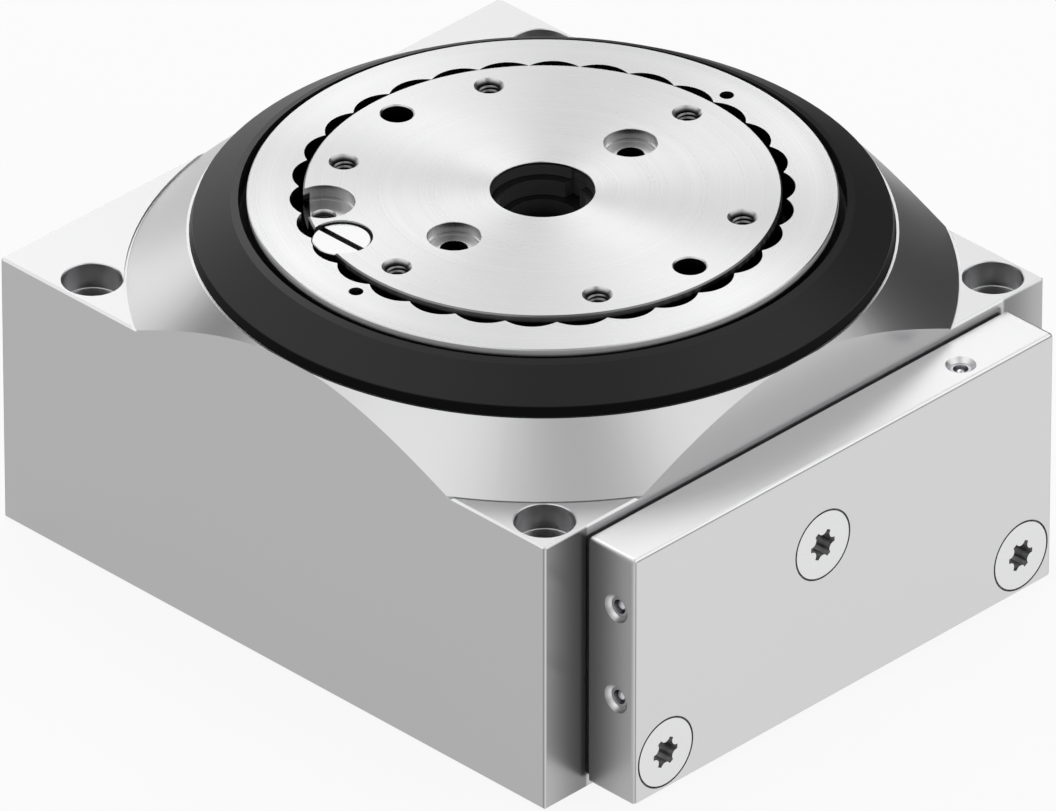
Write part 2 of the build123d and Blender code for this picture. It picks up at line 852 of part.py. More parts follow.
def pawl():
    """Pawl as it lies lifted off the teeth, turned back about its pin from the seated place.

    Its end face stands square to the line from pin to tip, so that it slides off a tooth as it turns.
    """
    x, y = polar(pawl_pivot_circle, pawl_pivot_angle)
    tip_x, tip_y = polar(ratchet_root_radius - 4 * loose_gap / 3, pawl_tooth_angle - pawl_tip_gap)
    length = ((tip_x - x) ** 2 + (tip_y - y) ** 2) ** 0.5
    heel_x = tip_x - pawl_tip_length * (tip_y - y) / length
    heel_y = tip_y + pawl_tip_length * (tip_x - x) / length
    waist = polar(ratchet_tip_radius - 2 * loose_gap, pawl_tooth_angle - 360 / index_count + ratchet_face_lean)
    arm = make_face(
        Polyline(
            (tip_x, tip_y), (heel_x, heel_y), (x - pawl_boss_radius, y), (x + pawl_boss_radius, y), waist, close=True
        )
    )
    outline = arm + Pos(x, y) * Circle(pawl_boss_radius) - Pos(x, y) * Circle(pawl_pin_radius + running_gap)
    low = carrier_top + loose_gap
    seated = Pos(0, 0, low) * extrude(outline, index_top - loose_gap - low)
    pivot = Axis((x, y, 0), (0, 0, 1))
    return seated.rotate(pivot, pawl_lift_angle)


def spring_foot_centre():
    return Pos((spring_strip - spring_foot[0]) / 2, -spring_foot_offset, 0)


def pawl_spring():
    """Leaf spring on an L-shaped foot, beside the pawl's inner flank."""
    width, depth, thickness = spring_foot
    foot = spring_foot_centre() * Box(width, depth, thickness, align=upright)
    foot -= spring_foot_centre() * Cylinder(spring_screw_radius + seat_gap, thickness + 1, align=upright)
    strip = Pos(0, -spring_foot_offset - depth / 2, 0) * Box(
        spring_strip, spring_length + depth, spring_height, align=(Align.CENTER, Align.MIN, Align.MIN)
    )
    return spring_place() * (foot + strip)


def spring_screw():
    thickness = spring_foot[2]
    screw = Pos(0, 0, thickness) * Cylinder(1.6 * spring_screw_radius, 1.4, align=upright)
    screw += Pos(0, 0, 1.2 - carrier_thickness) * Cylinder(
        spring_screw_radius - seat_gap, carrier_thickness, align=upright
    )
    return spring_place() * spring_foot_centre() * screw


# Racks and pistons, with side -1 for the rack below the X axis and +1 for the one above it
def rack_end(side):
    return rack_start + (stroke if side > 0 else 0)


def rack(side):
    start = rack_end(side)
    bar = Cylinder(rack_radius, rack_length, align=upright)
    bar += Cylinder(rack_spigot_radius, rack_length + rack_spigot_length, align=upright)
    bar -= Pos(0, 0, rack_length + rack_spigot_length - piston_screw_length) * Cylinder(
        piston_screw_radius, piston_screw_length + 1, align=upright
    )
    bar = along_x(start, side * cylinder_offset, cylinder_height) * bar
    flat_low = start + rack_flat_start
    flat_high = start + rack_length - rack_flat_end
    tip_line = pitch_radius - gear_module
    size = 2 * rack_radius
    bar -= Pos((flat_low + flat_high) / 2, side * (tip_line - size / 2), cylinder_height) * Box(
        flat_high - flat_low, size, size
    )
    root_line = pitch_radius + 1.25 * gear_module
    slope = tan(radians(pressure_angle))
    half_pitch_gap = circular_pitch / 4 + flank_backlash / 2
    half_tip = half_pitch_gap + (pitch_radius - tip_line + 1) * slope
    half_root = half_pitch_gap - (root_line - pitch_radius) * slope
    space = make_face(
        Polyline(
            (-half_root, root_line), (-half_tip, tip_line - 1), (half_tip, tip_line - 1), (half_root, root_line),
            close=True,
        )
    )
    cutter = Pos(0, 0, cylinder_height - rack_radius) * extrude(space, size)
    if side < 0:
        cutter = Rot(180, 0, 0) * Pos(0, 0, -2 * cylinder_height) * cutter
    first = ceil((flat_low + half_tip) / circular_pitch)
    last = floor((flat_high - half_tip) / circular_pitch)
    return bar - [Pos(index * circular_pitch, 0, 0) * cutter for index in range(first, last + 1)]


def piston(side):
    disc = Cylinder(piston_radius, piston_length, align=upright)
    for start, width, depth in (
        (guide_start, guide_width, guide_thickness),
        (seal_start, seal_width, seal_thickness),
    ):
        inner = cylinder_radius - running_gap - depth - seat_gap
        disc -= tube(piston_radius + 1, inner, start, start + width)
    disc -= Cylinder(rack_spigot_radius + seat_gap, rack_spigot_length, align=upright)
    disc -= Cylinder(piston_screw_radius + running_gap, piston_length + 1, align=upright)
    disc -= Pos(0, 0, piston_length - piston_screw_radius) * Cone(
        piston_screw_radius, 2 * piston_screw_radius, piston_screw_radius, align=upright
    )
    return piston_place(side) * disc


def piston_place(side):
    return along_x(rack_end(side) + rack_length, side * cylinder_offset, cylinder_height)


def piston_ring(side, start, width, depth):
    outer = cylinder_radius - running_gap
    return piston_place(side) * tube(outer, outer - depth, start + seat_gap, start + width - seat_gap)


def piston_screw(side):
    bottom = rack_spigot_length - piston_screw_length + 0.5
    screw = Pos(0, 0, bottom) * Cylinder(piston_screw_radius - seat_gap, piston_length - bottom, align=upright)
    head = piston_screw_radius - 2 * seat_gap
    screw += Pos(0, 0, piston_length - head) * Cone(head, 2 * head, head, align=upright)
    return piston_place(side) * (screw - Pos(0, 0, piston_length) * hexagon(m3_hex, 1.5))


# End stops
def stop_place(side):
    return along_x(-tail_offset, side * cylinder_offset, cylinder_height)


def stop_screw(side):
    length = cylinder_end_wall - stop_recess
    screw = Pos(0, 0, stop_recess) * Cylinder(stop_radius, length, align=upright)
    return stop_place(side) * (screw - Pos(0, 0, stop_recess) * Rot(180, 0, 0) * hexagon(stop_hex, stop_hex_depth))


def stop_pad(side):
    pad = Cylinder(stop_pad_radius, stop_pad_length, align=upright)
    return along_x(cylinder_end, side * cylinder_offset, cylinder_height) * pad


def stop_seal(side):
    low = stop_seal_offset + seat_gap
    ring = tube(stop_radius + stop_seal_thickness - seat_gap, stop_radius + seat_gap, low, low + stop_seal_width - 0.1)
    return stop_place(side) * ring


# End cover
def m6_countersink():
    """Tool for a countersunk screw seat down from Z = 0."""
    mouth = m6_head_radius + m6_head_gap
    neck = m6_radius + m6_clearance
    return turned(
        [
            (0, -cover_thickness - 1),
            (neck, -cover_thickness - 1),
            (neck, neck - mouth - m6_rim_depth),
            (mouth, -m6_rim_depth),
            (mouth, 1),
            (0, 1),
        ]
    )


def channels():
    """Drilled air channels, each with the seat of its ball plug."""
    side = cover_width / 2
    runs = (
        (Pos(channel_x, -side, side_channel_heights[0]) * Rot(90, 0, 0), side + top_channel_offset, channel_radius),
        (Pos(channel_x, -side, side_channel_heights[1]) * Rot(90, 0, 0), side - cylinder_offset, channel_radius),
        (Pos(channel_x, top_channel_offset, cover_top), cover_top - cylinder_height, riser_radius),
    )
    tools = []
    for place, depth, radius in runs:
        tool = Pos(0, 0, -depth - 2) * Cylinder(radius, depth + 2, align=upright)
        tool += Pos(0, 0, -plug_sink - plug_length) * Cylinder(plug_radius, plug_length + plug_sink, align=upright)
        tools.append(place * (tool + chamfered_hole(plug_radius, plug_rim_radius, plug_sink)))
    return tools


def end_cover():
    cover = Pos(cover_back, 0, cover_base) * Box(
        cover_thickness, cover_width, cover_top - cover_base, align=(Align.MIN, Align.CENTER, Align.MIN)
    )
    rounds = cover.edges().filter_by_position(Axis.X, cover_face, cover_face)
    cover = fillet(rounds + cover.edges().filter_by(Axis.X), cover_round)
    cover = chamfer(cover.edges().filter_by_position(Axis.X, cover_back, cover_back), cover_back_break)
    for y, z in screw_places:
        cover -= along_x(cover_face, y, z) * m6_countersink()
    cover -= channels()
    for y, z in ((-cylinder_offset, side_channel_heights[1]), (top_channel_offset, cylinder_height)):
        cover -= along_x(cover_back - 1, y, z) * Cylinder(
            channel_radius, channel_x - cover_back + 1.5, align=upright
        )
    for side in (-1, 1):
        reach = port_offset - cylinder_offset
        cover -= Pos(cover_back, side * (cylinder_offset + reach / 2), port_height) * Box(
            2 * supply_radius, reach + 2 * supply_radius, 2 * supply_radius
        )
    return cover


def cover_gasket():
    height = cover_top - cover_base - 2 * gasket_inset
    sheet = Pos(side_offset, 0, cover_base + gasket_inset) * Box(
        gasket_thickness, cover_width - 2 * gasket_inset, height, align=(Align.MIN, Align.CENTER, Align.MIN)
    )
    for side in (-1, 1):
        sheet -= along_x(side_offset - 1, side * cylinder_offset, cylinder_height) * Cylinder(
            cylinder_radius, 3, align=upright
        )
        sheet -= along_x(side_offset - 1, side * port_offset, port_height) * Cylinder(
            supply_radius, 3, align=upright
        )
    for y, z in screw_places:
        sheet -= along_x(side_offset - 1, y, z) * Cylinder(m6_radius + m6_clearance, 3, align=upright)
    return sheet


def m6_screw():
    """Countersunk screw with its flat head at Z = 0 and a six-lobe recess, one lobe along its own Y."""
    neck = m6_radius - seat_gap
    drop = m6_head_gap + m6_rim_depth - 2 * seat_gap
    screw = turned(
        [
            (0, -m6_length),
            (neck, -m6_length),
            (neck, neck - m6_head_radius - drop),
            (m6_head_radius, -drop),
            (m6_head_radius, 0),
            (0, 0),
        ]
    )
    lobes = Circle(lobe_radius)
    lobes -= [place * Circle(lobe_flute_radius) for place in PolarLocations(lobe_flute_centre, 6)]
    return screw - Pos(0, 0, -lobe_depth) * extrude(lobes, lobe_depth + 1)


def end_cover_screws():
    return [along_x(cover_face, y, z) * m6_screw() for y, z in screw_places]


def plug_places():
    side = cover_width / 2
    places = [Pos(channel_x, -side, height) * Rot(90, 0, 0) for height in side_channel_heights]
    return places + [Pos(channel_x, top_channel_offset, cover_top)]


def plug_sleeve():
    outer = plug_radius - seat_gap
    return tube(outer, outer - plug_wall, -plug_sink - plug_length, -plug_sink)


def plug_ball():
    return Pos(0, 0, -plug_sink - plug_ball_sink) * Sphere(plug_ball_radius)


# Lock bolt
def lock_bolt():
    seat = side_offset - bolt_bore_depth
    tip = index_radius + bolt_tip_gap
    head_front = seat + bolt_head_stand + bolt_travel
    head_back = head_front + bolt_head_thickness
    slope = tan(radians(notch_half_angle))
    wide = bolt_tip_width / 2 + bolt_wedge_length * slope
    wedge = make_face(
        Polyline(
            (-bolt_tip_width / 2, tip),
            (-wide, tip + bolt_wedge_length),
            (wide, tip + bolt_wedge_length),
            (bolt_tip_width / 2, tip),
            close=True,
        )
    )
    blade = Pos(0, 0, index_middle - bolt_tip_height / 2) * extrude(wedge, bolt_tip_height)
    stem = along_y(0, tip, index_middle) * Cylinder(bolt_stem_radius, head_front - tip, align=upright)
    neck = along_y(0, tip + bolt_wedge_length, index_middle) * Cylinder(
        bolt_stem_radius, head_front - tip - bolt_wedge_length, align=upright
    )
    head = along_y(0, head_front, index_middle) * Cylinder(
        bolt_head_radius - running_gap, bolt_head_thickness, align=upright
    )
    bolt = (blade & stem) + neck + head
    groove = (bolt_head_thickness - bolt_seal_width) / 2
    bolt -= along_y(0, head_front, index_middle) * tube(
        bolt_head_radius + 1,
        bolt_head_radius - bolt_seal_thickness - seat_gap,
        groove,
        groove + bolt_seal_width,
    )
    pocket = Cylinder(spring_pocket_radius, spring_pocket_depth + 1, align=upright)
    return bolt - along_y(0, head_back - spring_pocket_depth, index_middle) * pocket


def lock_seal():
    front = side_offset - bolt_bore_depth + bolt_head_stand + bolt_travel
    groove = (bolt_head_thickness - bolt_seal_width) / 2
    ring = tube(
        bolt_head_radius - running_gap,
        bolt_head_radius - bolt_seal_thickness,
        groove + seat_gap,
        groove + bolt_seal_width - seat_gap,
    )
    return along_y(0, front, index_middle) * ring


def disc_springs():
    """Stack of disc springs between the cap and the lock bolt's head."""
    top = side_offset - cap_thickness
    step = disc_spring_thickness + disc_spring_cone
    discs = []
    for index in range(disc_spring_count):
        low = -(index + 1) * step
        lean = disc_spring_cone if index % 2 else 0
        discs.append(
            turned(
                [
                    (disc_spring_bore, low + lean),
                    (disc_spring_radius, low + disc_spring_cone - lean),
                    (disc_spring_radius, low + disc_spring_cone - lean + disc_spring_thickness),
                    (disc_spring_bore, low + lean + disc_spring_thickness),
                ]
            )
        )
    return [along_y(0, top, index_middle) * disc for disc in discs]


def lock_cap():
    cap = Cylinder(bolt_head_radius - seat_gap, cap_thickness, align=upright)
    low = (cap_thickness - cap_seal_width) / 2
    cap -= tube(bolt_head_radius + 1, bolt_head_radius - cap_seal_thickness, low, low + cap_seal_width)
    cap -= Pos(0, 0, cap_thickness) * hexagon(cap_hex, cap_hex_depth)
    return along_y(0, side_offset - cap_thickness, index_middle) * cap


def cap_seal():
    low = (cap_thickness - cap_seal_width) / 2 + seat_gap
    ring = tube(
        bolt_head_radius - seat_gap, bolt_head_radius - cap_seal_thickness + seat_gap, low, low + cap_seal_width - 0.1
    )
    return along_y(0, side_offset - cap_thickness, index_middle) * ring


# Bottom cover
def bottom_cover():
    bush_seat = spindle_radius + running_gap + spindle_bush_wall
    seal_seat = spindle_radius + running_gap + spindle_seal_wall
    step = bottom_step + spindle_seal_height
    cover = turned(
        [
            (seal_seat, bottom_step),
            (bottom_radius, bottom_step),
            (bottom_radius, bottom_recess),
            (bush_seat, bottom_recess),
            (bush_seat, step),
            (seal_seat, step),
        ]
    )
    cover -= tube(
        bottom_seal_radius + bottom_seal_width,
        bottom_seal_radius,
        bottom_recess - bottom_seal_height,
        bottom_recess + 1,
    )
    for angle in bottom_screw_angles:
        x, y = polar(bottom_screw_circle, angle)
        cover -= Pos(x, y, bottom_step) * bottom_screw_seat()
    return cover


def bottom_screw_seat():
    """Tool for an upward countersunk screw from Z = 0."""
    tool = Pos(0, 0, -1) * Cylinder(m3_radius + 2 * running_gap, bottom_recess + 2, align=upright)
    return tool + Cone(m3_head_radius, m3_radius, m3_head_radius - m3_radius, align=upright)


def bottom_cover_screws():
    head = m3_head_radius - 2 * running_gap
    neck = m3_radius - seat_gap
    screw = Cylinder(neck, bottom_screw_length, align=upright)
    screw += Cone(head, neck, head - neck, align=upright)
    screw -= Rot(180, 0, 0) * hexagon(m3_hex * 0.8, 1.0)
    places = [polar(bottom_screw_circle, angle) for angle in bottom_screw_angles]
    return [Pos(x, y, bottom_step) * screw for x, y in places]


def bottom_cover_seal():
    return tube(
        bottom_seal_radius + bottom_seal_width - seat_gap,
        bottom_seal_radius + seat_gap,
        bottom_recess - bottom_seal_height,
        bottom_recess,
    )


def spindle_bush():
    inner = spindle_radius + running_gap
    return tube(inner + spindle_bush_wall - seat_gap, inner, bottom_step + spindle_seal_height, bottom_recess)


def spindle_seal():
    inner = spindle_radius + running_gap
    return tube(
        inner + spindle_seal_wall - seat_gap, inner, bottom_step + 0.1, bottom_step + spindle_seal_height
    )


def group(solids):
    return Compound(children=list(solids))


pieces = {
    "housing": housing(),
    "end_cover": end_cover(),
    "cover_gasket": cover_gasket(),
    "end_cover_screws": group(end_cover_screws()),
    "channel_plug_sleeves": group(place * plug_sleeve() for place in plug_places()),
    "channel_plug_balls": group(place * plug_ball() for place in plug_places()),
    "guard_ring": guard_ring(),
    "table_seal": table_seal(),
    "bearing_outer_race": race(turret_bore - seat_gap, race_outer_radius),
    "bearing_inner_race": race(table_radius + seat_gap, race_inner_radius),
    "bearing_rollers": group(rollers()),
    "bearing_cage": cage(),
    "table_plate": table_plate(),
    "centre_sleeve": centre_sleeve(),
    "preload_ring": preload_ring(),
    "lock_screw": lock_screw(),
    "index_ring": index_ring(),
    "index_ring_screws": group(index_ring_screws()),
    "index_ring_pins": group(index_ring_pins()),
    "drive_gear": drive_gear(),
    "gear_bush_lower": gear_bush(gear_foot, lower_bush_length),
    "gear_bush_upper": gear_bush(carrier_top - upper_bush_length, upper_bush_length),
    "thrust_washer": thrust_washer(),
    "pawl_carrier": pawl_carrier(),
    "carrier_pins": group(carrier_pins()),
    "pawl_pin": pawl_pin(),
    "pawl": pawl(),
    "pawl_spring": pawl_spring(),
    "spring_screw": spring_screw(),
    "stop_screws": group(stop_screw(side) for side in (-1, 1)),
    "stop_pads": group(stop_pad(side) for side in (-1, 1)),
    "stop_seals": group(stop_seal(side) for side in (-1, 1)),
    "lock_bolt": lock_bolt(),
    "lock_seal": lock_seal(),
    "lock_spring": group(disc_springs()),
    "lock_cap": lock_cap(),
    "cap_seal": cap_seal(),
    "bottom_cover": bottom_cover(),
    "bottom_cover_screws": group(bottom_cover_screws()),
    "bottom_cover_seal": bottom_cover_seal(),
    "spindle_bush": spindle_bush(),
    "spindle_seal": spindle_seal(),
}
for side, letter in ((-1, "a"), (1, "b")):
    pieces[f"rack_{letter}"] = rack(side)
    pieces[f"piston_{letter}"] = piston(side)
    pieces[f"piston_screw_{letter}"] = piston_screw(side)
    pieces[f"guide_ring_{letter}"] = piston_ring(side, guide_start, guide_width, guide_thickness)
    pieces[f"piston_seal_{letter}"] = piston_ring(side, seal_start, seal_width, seal_thickness)

os.makedirs("parts", exist_ok=True)
for name, shape in pieces.items():
    export_step(shape, f"parts/{name}.step")
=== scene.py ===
import json
import math

import bmesh
import bpy
from mathutils import Matrix, Vector


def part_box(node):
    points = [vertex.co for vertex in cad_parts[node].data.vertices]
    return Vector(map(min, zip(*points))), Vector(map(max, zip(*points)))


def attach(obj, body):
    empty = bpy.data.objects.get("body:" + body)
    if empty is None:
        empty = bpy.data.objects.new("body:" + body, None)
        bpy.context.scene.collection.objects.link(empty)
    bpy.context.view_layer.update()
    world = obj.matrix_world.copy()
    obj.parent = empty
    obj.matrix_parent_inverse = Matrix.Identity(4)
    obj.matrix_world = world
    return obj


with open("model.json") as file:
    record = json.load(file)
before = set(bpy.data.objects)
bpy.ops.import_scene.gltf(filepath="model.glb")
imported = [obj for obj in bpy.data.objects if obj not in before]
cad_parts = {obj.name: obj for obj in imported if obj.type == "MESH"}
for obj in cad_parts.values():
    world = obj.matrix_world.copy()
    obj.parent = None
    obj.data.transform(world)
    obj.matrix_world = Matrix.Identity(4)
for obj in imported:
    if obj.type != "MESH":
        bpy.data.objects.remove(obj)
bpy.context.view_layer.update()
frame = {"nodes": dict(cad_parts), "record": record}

MM = 0.001
nodes = frame["nodes"]
scene = bpy.context.scene

# Places of the visible faces, from the frame
TABLE_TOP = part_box("table_plate")[1].z
NUT_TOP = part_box("preload_ring")[1].z
GUARD_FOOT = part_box("guard_ring")[0].z
SCREW_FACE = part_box("end_cover_screws")[1].x
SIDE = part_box("housing")[1].y
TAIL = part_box("housing")[0].x
COVER_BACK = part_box("end_cover")[0].x
COVER_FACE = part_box("end_cover")[1].x
COVER_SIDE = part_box("end_cover")[1].y
COVER_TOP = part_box("end_cover")[1].z

# Sizes of the block that the frame's boxes don't give, as in the part's source
DECK = 46.85 * MM
CORNER = 48.5 * MM
EDGE = 0.32 * MM
FOOT_RADIUS = 63.8 * MM
SKIRT_TOP = GUARD_FOOT + 6.4 * MM
PORT_HEIGHT = 24.0 * MM
PORT_OFFSET = 41.0 * MM
LOCK_PORT = Vector((TAIL, 44.0 * MM, 34.25 * MM))

# Sizes of the table and the nut, as in the part's source
TABLE_RADIUS = 36.4 * MM
PAYLOAD_RADIUS = 31.3 * MM
PAYLOAD_THREADS = 6
PAYLOAD_TURN = 2 * math.pi / PAYLOAD_THREADS
THROUGH_OFFSET = 19.05 * MM
POCKET_RADIUS = 33.4 * MM
POCKET_ANGLE = math.radians(231)
POCKET_DEPTH = 2.5 * MM
POCKET_FLOOR = Vector((
    POCKET_RADIUS * math.cos(POCKET_ANGLE),
    POCKET_RADIUS * math.sin(POCKET_ANGLE),
    TABLE_TOP - POCKET_DEPTH,
))
MOUTH_DEPTH = 2.3 * MM
LEDGE_DEPTH = 5.05 * MM
LOCK_DROP = 0.43 * MM

# Camera, at the photograph's angle
AZIMUTH = math.radians(44.782)
ELEVATION = math.radians(32.221)
DISTANCE = 3.353
SHIFT_RIGHT = -2.236 * MM
SHIFT_UP = 20.278 * MM
LENS = 745.2
SENSOR = 36
CLIP_START = 0.1
CLIP_END = 20


def make_camera():
    back = Vector((
        math.sin(AZIMUTH) * math.cos(ELEVATION),
        -math.cos(AZIMUTH) * math.cos(ELEVATION),
        math.sin(ELEVATION),
    ))
    right = Vector((math.cos(AZIMUTH), math.sin(AZIMUTH), 0))
    up = back.cross(right)
    data = bpy.data.cameras.new("camera")
    data.lens = LENS
    data.sensor_width = SENSOR
    data.sensor_fit = "HORIZONTAL"
    data.clip_start = CLIP_START
    data.clip_end = CLIP_END
    camera = bpy.data.objects.new("camera", data)
    camera.location = right * SHIFT_RIGHT + up * SHIFT_UP + back * DISTANCE
    camera.rotation_mode = "QUATERNION"
    camera.rotation_quaternion = (-back).to_track_quat("-Z", "Y")
    scene.collection.objects.link(camera)
    scene.camera = camera


# Shader helpers
class Shader:
    """One node tree, with short calls to add nodes and link them."""

    def __init__(self, tree):
        self.tree = tree
        tree.nodes.clear()

    def join(self, value, socket):
        if isinstance(value, bpy.types.NodeSocket):
            self.tree.links.new(value, socket)
        else:
            socket.default_value = value

    def add(self, kind, inputs=None, **settings):
        node = self.tree.nodes.new(kind)
        for name, value in settings.items():
            setattr(node, name, value)
        for name, value in (inputs or {}).items():
            self.join(value, node.inputs[name])
        return node

    def math(self, operation, *values, clamp=False):
        node = self.add("ShaderNodeMath", operation=operation, use_clamp=clamp)
        for index, value in enumerate(values):
            self.join(value, node.inputs[index])
        return node.outputs[0]

    def product(self, first, *others):
        for other in others:
            first = self.math("MULTIPLY", first, other)
        return first

    def largest(self, first, *others):
        for other in others:
            first = self.math("MAXIMUM", first, other)
        return first

    def less(self, first, second):
        return self.math("SUBTRACT", first, second)

    def opposite(self, value):
        """0 where a value is 1, and 1 where it is 0."""
        return self.less(1.0, value)

    def below(self, value, limit):
        """1 where a value is under a limit, and 0 elsewhere."""
        return self.math("LESS_THAN", value, limit)

    def above(self, value, limit):
        """1 where a value is over a limit, and 0 elsewhere."""
        return self.math("GREATER_THAN", value, limit)

    def within(self, value, low, high):
        return self.product(self.above(value, low), self.below(value, high))

    def size(self, value):
        """A number without its sign."""
        return self.math("ABSOLUTE", value)

    def hypotenuse(self, across, along):
        return self.math("SQRT", self.math("ADD", self.product(across, across), self.product(along, along)))

    def weigh(self, first, share, second):
        """The first number's share, and the second number for the rest."""
        return self.math("ADD", self.product(first, share), self.product(second, 1 - share))

    def vector(self, operation, *values, output=0):
        node = self.add("ShaderNodeVectorMath", operation=operation)
        for index, value in enumerate(values):
            self.join(value, node.inputs[index])
        return node.outputs[output]

    def dot(self, first, second):
        return self.vector("DOT_PRODUCT", first, second, output=1)

    def length(self, vector):
        return self.vector("LENGTH", vector, output=1)

    def split(self, vector):
        return self.add("ShaderNodeSeparateXYZ", {"Vector": vector}).outputs

    def spread(self, value, low, high):
        """Maps a value of 0 to 1 to the range low to high."""
        node = self.add("ShaderNodeMapRange", {"Value": value, "To Min": low, "To Max": high})
        return node.outputs["Result"]

    def step(self, value, start, end):
        """Rises smoothly from 0 at start to 1 at end."""
        node = self.add(
            "ShaderNodeMapRange", {"Value": value, "From Min": start, "From Max": end},
            interpolation_type="SMOOTHSTEP",
        )
        return node.outputs["Result"]

    def mix(self, factor, first, second):
        """Number between two others."""
        node = self.add("ShaderNodeMix", data_type="FLOAT")
        for value, index in ((factor, 0), (first, 2), (second, 3)):
            self.join(value, node.inputs[index])
        return node.outputs[0]

    def shade(self, factor, dark, light):
        """Colour between two others."""
        node = self.add("ShaderNodeMix", data_type="RGBA")
        self.tree.links.new(factor, node.inputs["Factor"])
        node.inputs["A"].default_value = (*dark, 1)
        node.inputs["B"].default_value = (*light, 1)
        return node.outputs["Result"]

    def paint(self, tone, colour, darker, lighter, share):
        """A colour that varies with tone between a darker and a lighter one, times share."""
        dark = tuple(part * darker for part in colour)
        light = tuple(min(1.0, part * lighter) for part in colour)
        node = self.add("ShaderNodeVectorMath", {"Vector": self.shade(tone, dark, light), "Scale": share},
                        operation="SCALE")
        return node.outputs[0]

    def bump(self, height, strength, distance):
        node = self.add("ShaderNodeBump", {"Height": height, "Strength": strength, "Distance": distance})
        return node.outputs[0]

    def noise(self, where, scale, detail=2.0, roughness=0.5, dimensions="3D"):
        node = self.add("ShaderNodeTexNoise", {"Scale": scale, "Detail": detail, "Roughness": roughness},
                        noise_dimensions=dimensions)
        self.join(where, node.inputs["W" if dimensions == "1D" else "Vector"])
        return node.outputs["Fac"]

    def spot(self):
        """Position in the part's own frame."""
        return self.add("ShaderNodeTexCoord").outputs["Object"]

    def depth(self, top):
        """How far a place lies below a height."""
        return self.less(top, self.split(self.spot())[2])

    def spoke(self):
        """Position as seen from the table's axis, square to it."""
        return self.vector("MULTIPLY", self.spot(), (1, 1, 0))

    def close(self, shader):
        out = self.add("ShaderNodeOutputMaterial")
        self.tree.links.new(shader.outputs[0], out.inputs["Surface"])


def surface(name):
    material = bpy.data.materials.new(name)
    material.use_nodes = True
    return material, Shader(material.node_tree)


# Painted light: each function gives the share of its colour that a place shows. The share is 1 in the open,
# near 0 deep in a hole and over 1 on a bright edge. A fade is a pair of depths: where the dark begins, and
# where it is full.
WALL_START = 0.12 * MM
BACK_BAND = (0.70, 0.98)
BACK_DARKER = 0.45
FLANK_RISE = (0.0, 0.45)
FLANK_FALL = (0.45, 0.80)
FLANK_LIGHTER = 0.85


def in_open(s):
    return 1.0


def in_hole(s, across, along, wall, depth, end):
    """Wall of an open hole, between the radii in wall and down to depth end: painted shade at the back,
    painted highlight on the flanks.
    """
    away = s.hypotenuse(across, along)
    on_wall = s.product(s.within(away, *wall), s.within(depth, WALL_START, end))
    back = s.math("DIVIDE", s.product(s.less(along, across), math.sqrt(0.5)), away)
    band = s.product(s.step(back, *BACK_BAND), BACK_DARKER)
    flank = s.product(s.step(back, *FLANK_RISE), s.opposite(s.step(back, *FLANK_FALL)), FLANK_LIGHTER)
    return s.math("ADD", 1.0, s.product(s.less(flank, band), on_wall))


# Holes and edges of the table plate: painted shade down the holes, the bore and the rim, and on the edge
# chamfer; painted shade and highlights on the hole walls
THREAD_REACH = 2.4 * MM
THREAD_FADE = (0.02 * MM, 0.62 * MM)
DOWEL_REACH = 2.75 * MM
DOWEL_FADE = (0.45 * MM, 2.3 * MM)
POCKET_HOLE_REACH = 1.95 * MM
POCKET_HOLE_FADE = (POCKET_DEPTH, POCKET_DEPTH + 0.45 * MM)
PLATE_INSIDE = TABLE_RADIUS - 1.0 * MM
BORE_FADE = (2.55 * MM, 3.4 * MM)
RIM_FADE = (0.15 * MM, 0.65 * MM)
PLATE_DARK = 0.03
CHAMFER_RADII = (TABLE_RADIUS - 0.29 * MM, TABLE_RADIUS - 0.21 * MM)
CHAMFER_DEPTH = 0.30 * MM
CHAMFER_SOFT = 0.05 * MM
CHAMFER_DARK = 0.32
THROUGH_WALL = (3.8 * MM, 4.3 * MM)
THROUGH_END = 2.1 * MM
POCKET_WALL = (4.5 * MM, 5.0 * MM)
POCKET_END = 2.45 * MM


def down_threads(s, x, y, depth):
    """1 down the payload threads, which are all folded onto one."""
    radius = s.hypotenuse(x, y)
    angle = s.math("ADD", s.math("ARCTAN2", y, x), 2 * math.pi)
    folded = s.less(s.math("MODULO", angle, PAYLOAD_TURN), PAYLOAD_TURN / 2)
    along = s.less(s.product(radius, s.math("COSINE", folded)), PAYLOAD_RADIUS)
    across = s.product(radius, s.math("SINE", folded))
    return s.product(s.below(s.hypotenuse(along, across), THREAD_REACH), s.step(depth, *THREAD_FADE))


def down_dowels(s, x, y, depth):
    """1 down the two dowel holes, which lie on the X axis."""
    away = s.hypotenuse(s.less(s.size(x), PAYLOAD_RADIUS), y)
    return s.product(s.below(away, DOWEL_REACH), s.step(depth, *DOWEL_FADE))


